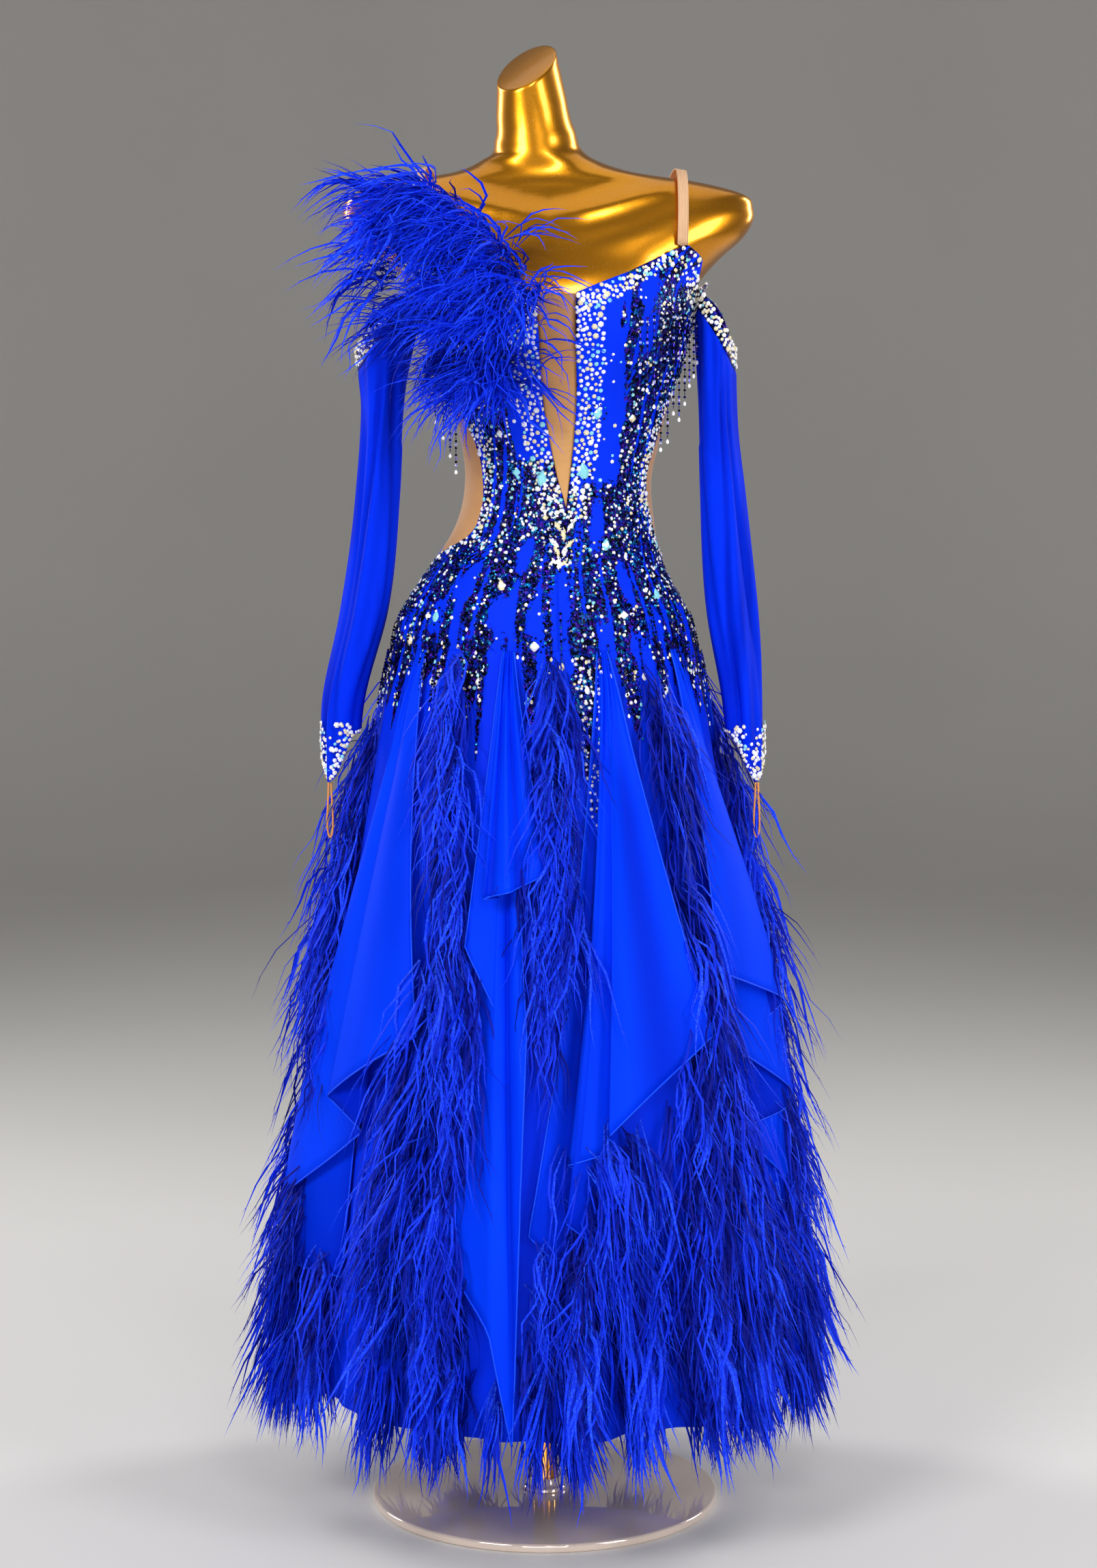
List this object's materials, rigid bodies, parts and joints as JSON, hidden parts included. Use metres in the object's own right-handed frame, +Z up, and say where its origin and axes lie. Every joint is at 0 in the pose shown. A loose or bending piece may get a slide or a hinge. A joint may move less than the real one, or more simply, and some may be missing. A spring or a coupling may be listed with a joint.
{
  "type": "ballroom gown on dress form",
  "caption": "Ballroom gown with chiffon panels, feather trims and empty hanging sleeves, on a limbless dress form with a round base.",
  "frame": {"origin": "centre of the round base's underside, on the floor", "axes": "+Z up; the gown's front faces -Y and the wearer's left is at +X"},
  "size_m": [0.6631, 0.6583, 1.5025],
  "materials": {
    "blue_crepe": "satin stretch crepe, royal blue",
    "blue_chiffon": "sheer chiffon, royal blue",
    "blue_feather": "ostrich feather, royal blue",
    "nude_mesh": "power mesh, tan",
    "nude_elastic": "ribbed elastic, peach",
    "jewel_band": "blue band under clear and pale stones",
    "gold_paint": "glossy metallic gold",
    "gold_tube": "polished gold tube",
    "mirror_steel": "mirror polished"
  },
  "bodies": {
    "root": {"dress_form": "gold_paint", "pole": "gold_tube", "base_flange": "mirror_steel", "base_disc": "mirror_steel", "bodice_front_right": "blue_crepe", "bodice_front_left": "blue_crepe", "bodice_back": "blue_crepe", "v_insert": "nude_mesh", "side_mesh_right": "nude_mesh", "side_mesh_left": "nude_mesh", "strap_right": "nude_elastic", "strap_left": "nude_elastic", "sleeve_band_right": "jewel_band", "sleeve_band_left": "jewel_band", "sleeve_right": "blue_crepe", "sleeve_left": "blue_crepe", "finger_loop_right": "nude_elastic", "finger_loop_left": "nude_elastic", "skirt_front": "blue_crepe", "skirt_back": "blue_crepe", "shoulder_feathers": "blue_feather", "chiffon_panel_1": "blue_chiffon", "chiffon_panel_2": "blue_chiffon", "chiffon_panel_3": "blue_chiffon", "chiffon_panel_4": "blue_chiffon", "chiffon_panel_5": "blue_chiffon", "chiffon_panel_6": "blue_chiffon", "chiffon_panel_7": "blue_chiffon", "chiffon_panel_8": "blue_chiffon", "chiffon_panel_9": "blue_chiffon", "feather_boa_1": "blue_feather", "feather_boa_2": "blue_feather", "feather_boa_3": "blue_feather", "feather_boa_4": "blue_feather", "feather_boa_5": "blue_feather", "feather_boa_6": "blue_feather", "feather_boa_7": "blue_feather", "feather_boa_8": "blue_feather", "feather_boa_9": "blue_feather"}
  },
  "joints": []
}
